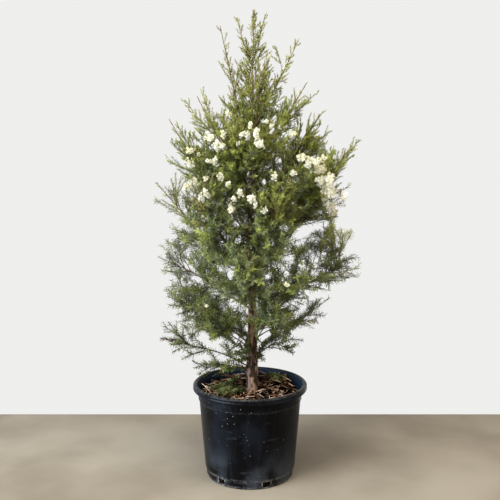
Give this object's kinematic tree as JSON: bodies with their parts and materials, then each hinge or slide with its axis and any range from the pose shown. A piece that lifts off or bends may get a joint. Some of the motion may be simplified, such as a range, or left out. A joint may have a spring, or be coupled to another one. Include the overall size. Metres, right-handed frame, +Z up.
{
  "type": "potted flax-leaved paperbark",
  "caption": "Young flax-leaved paperbark in a black nursery pot: a narrow, upright evergreen with fine leaves and cream bottlebrush blossom, branched almost to the rim.",
  "frame": {"origin": "centre of the pot's flat underside", "axes": "+Z up along the pot and the tree, -Y to the tree's front, +X to its right as the front is seen"},
  "size_m": [0.8156, 0.6565, 1.6739],
  "materials": {
    "pot": "black moulded plastic, scuffed and dusty, with a soft sheen",
    "mulch": "dry bark chips and needles over dark moist potting mix",
    "bark": "flaking papery bark, grey-brown with pale peeled patches",
    "leaves": "fine matt leaves, blue-green below and yellow-green at the top and tips",
    "blossom": "cream stamens in soft spikes"
  },
  "bodies": {
    "root": {"pot": "pot", "potting_mix": "mulch", "trunk": "bark", "bough_skirt_1": "bark", "foliage_skirt_1": "leaves", "bough_skirt_2": "bark", "foliage_skirt_2": "leaves", "bough_skirt_3": "bark", "foliage_skirt_3": "leaves", "bough_skirt_4": "bark", "foliage_skirt_4": "leaves", "bough_skirt_5": "bark", "foliage_skirt_5": "leaves", "bough_skirt_6": "bark", "foliage_skirt_6": "leaves", "bough_low_1": "bark", "foliage_low_1": "leaves", "bough_low_2": "bark", "foliage_low_2": "leaves", "bough_low_3": "bark", "foliage_low_3": "leaves", "bough_low_4": "bark", "foliage_low_4": "leaves", "bough_low_5": "bark", "foliage_low_5": "leaves", "bough_middle_1": "bark", "foliage_middle_1": "leaves", "bough_middle_2": "bark", "foliage_middle_2": "leaves", "bough_middle_3": "bark", "foliage_middle_3": "leaves", "bough_middle_4": "bark", "foliage_middle_4": "leaves", "bough_middle_5": "bark", "foliage_middle_5": "leaves", "bough_bloom_1": "bark", "foliage_bloom_1": "leaves", "bough_bloom_2": "bark", "foliage_bloom_2": "leaves", "bough_bloom_3": "bark", "foliage_bloom_3": "leaves", "bough_bloom_4": "bark", "foliage_bloom_4": "leaves", "bough_bloom_5": "bark", "foliage_bloom_5": "leaves", "bough_upper_1": "bark", "foliage_upper_1": "leaves", "bough_upper_2": "bark", "foliage_upper_2": "leaves", "bough_upper_3": "bark", "foliage_upper_3": "leaves", "foliage_crown_1": "leaves", "foliage_crown_2": "leaves", "foliage_crown_3": "leaves", "foliage_crown_4": "leaves", "foliage_crown_5": "leaves", "foliage_crown_6": "leaves", "foliage_crown_7": "leaves", "foliage_crown_8": "leaves", "foliage_leader": "leaves"}
  },
  "joints": []
}
